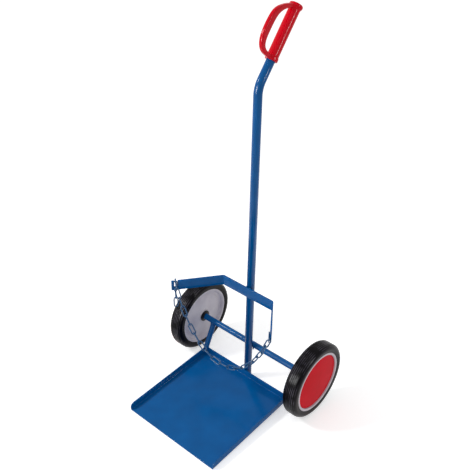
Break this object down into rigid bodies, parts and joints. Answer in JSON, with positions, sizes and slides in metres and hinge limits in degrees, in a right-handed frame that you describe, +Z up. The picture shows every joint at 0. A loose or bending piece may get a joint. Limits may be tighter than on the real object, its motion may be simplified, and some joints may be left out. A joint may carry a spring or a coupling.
{
  "type": "gas cylinder hand truck",
  "caption": "Cylinder hand truck with a bent tube column, closed hand grip, splayed cradle bar with safety chain, flanged foot tray and solid-tyred wheels on a through axle.",
  "frame": {"origin": "on the ground, at the centre of the whole truck's footprint box", "axes": "+Z up; X along the axle, the arm with the notch on -X; the tray and the cradle open towards -Y"},
  "size_m": [0.5256, 0.5234, 1.2139],
  "materials": {
    "frame_paint": "glossy blue powder coat",
    "grip_plastic": "gloss red",
    "cap_plastic": "satin red",
    "tyre_rubber": "matt black",
    "rim_plastic": "satin pale grey",
    "bush_plastic": "satin black",
    "zinc_steel": "bright zinc",
    "chain_paint": "worn glossy blue over steel"
  },
  "bodies": {
    "frame": {"axle": "frame_paint", "base_tray": "frame_paint", "chain_eye_link": "chain_paint", "chain_notch_link": "chain_paint", "column_tube": "frame_paint", "cradle_bar": "frame_paint", "hand_grip": "grip_plastic", "left_inner_clip": "zinc_steel", "left_inner_washer": "zinc_steel", "left_outer_clip": "zinc_steel", "left_outer_washer": "zinc_steel", "left_strut": "frame_paint", "right_inner_clip": "zinc_steel", "right_inner_washer": "zinc_steel", "right_outer_clip": "zinc_steel", "right_outer_washer": "zinc_steel", "right_strut": "frame_paint"},
    "wheel_left": {"left_hub_cap": "cap_plastic", "left_inner_bush": "bush_plastic", "left_outer_bush": "bush_plastic", "left_rim": "rim_plastic", "left_tyre": "tyre_rubber"},
    "wheel_right": {"right_hub_cap": "cap_plastic", "right_inner_bush": "bush_plastic", "right_outer_bush": "bush_plastic", "right_rim": "rim_plastic", "right_tyre": "tyre_rubber"},
    "chain": {"chain_link_01": "chain_paint", "chain_link_02": "chain_paint", "chain_link_03": "chain_paint", "chain_link_04": "chain_paint", "chain_link_05": "chain_paint", "chain_link_06": "chain_paint", "chain_link_07": "chain_paint", "chain_link_08": "chain_paint", "chain_link_09": "chain_paint", "chain_link_10": "chain_paint", "chain_link_11": "chain_paint", "chain_link_12": "chain_paint", "chain_link_13": "chain_paint", "chain_link_14": "chain_paint", "chain_link_15": "chain_paint", "chain_link_16": "chain_paint", "chain_link_17": "chain_paint", "chain_link_18": "chain_paint"},
    "chain_tail": {"chain_tail_link_1": "chain_paint", "chain_tail_link_2": "chain_paint", "chain_tail_link_3": "chain_paint"}
  },
  "joints": [
    {"name": "wheel_left_spin", "type": "hinge", "parent": "frame", "child": "wheel_left", "pos_m": [-0.2378, 0.12411, 0.125], "axis": [1, 0, 0], "continuous": true},
    {"name": "wheel_right_spin", "type": "hinge", "parent": "frame", "child": "wheel_right", "pos_m": [0.2378, 0.12411, 0.125], "axis": [1, 0, 0], "continuous": true},
    {"name": "chain_swing", "type": "hinge", "parent": "frame", "child": "chain", "pos_m": [-0.17653, -0.04325, 0.35229], "axis": [0.9992, 0.033, -0.0247], "range_deg": [-15, 15]},
    {"name": "chain_tail_swing", "type": "hinge", "parent": "frame", "child": "chain_tail", "pos_m": [-0.19531, -0.02925, 0.3622], "axis": [1, 0, 0], "range_deg": [-15, 30]}
  ]
}
